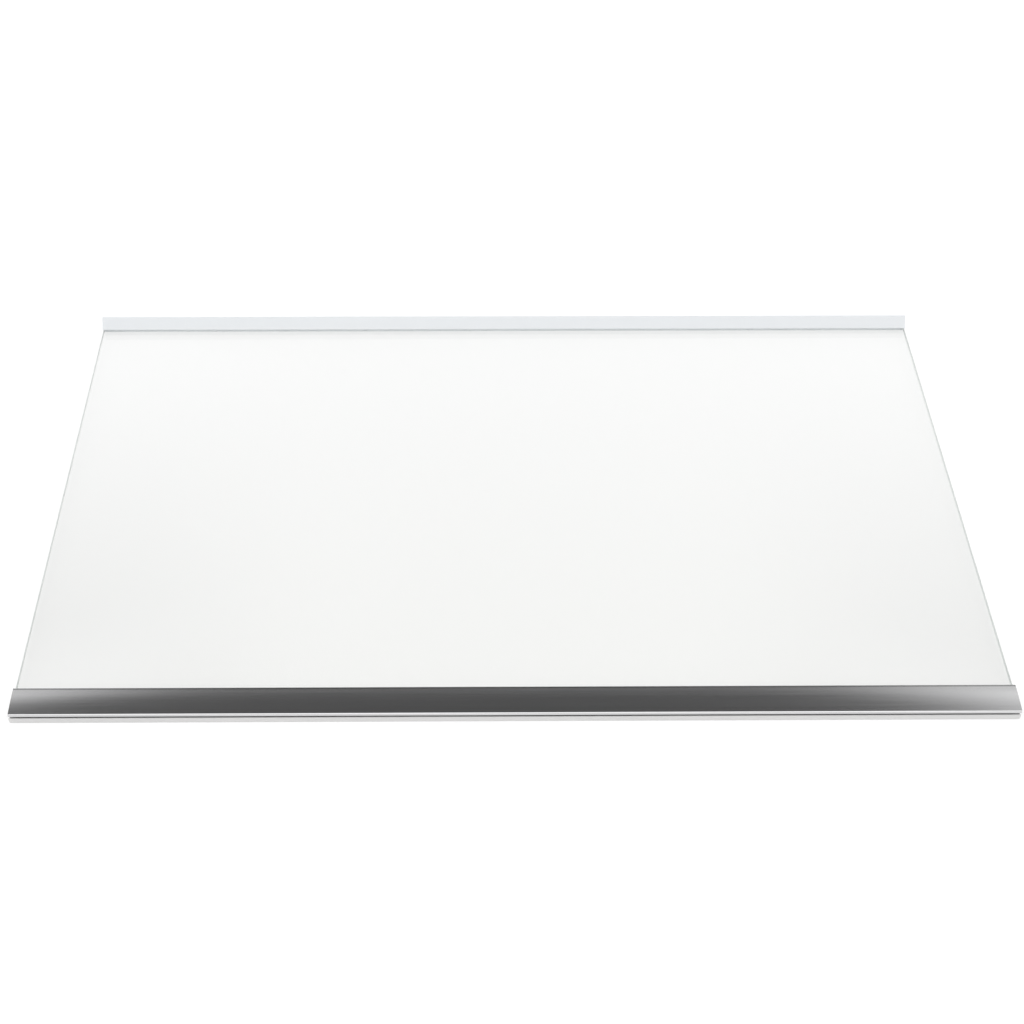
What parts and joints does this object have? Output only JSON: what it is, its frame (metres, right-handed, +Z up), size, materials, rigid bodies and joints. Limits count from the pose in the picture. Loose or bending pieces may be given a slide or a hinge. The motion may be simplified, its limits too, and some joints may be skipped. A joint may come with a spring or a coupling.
{
  "type": "refrigerator glass shelf",
  "caption": "Flat clear glass refrigerator shelf with a brushed steel front trim on a plastic carrier and a raised plastic stop profile along the rear edge.",
  "frame": {"origin": "centre of the bounding box, on the plane that the undersides of both profiles lie in", "axes": "+X along the shelf's width, +Y towards the rear stop, +Z up from the glass"},
  "size_m": [0.5004, 0.32, 0.0117],
  "materials": {
    "glass": "polished",
    "steel": "satin",
    "carrier_plastic": "satin",
    "rear_plastic": "satin"
  },
  "bodies": {
    "root": {"glass_pane": "glass", "front_cover": "steel", "front_carrier": "carrier_plastic", "rear_profile": "rear_plastic"}
  },
  "joints": []
}
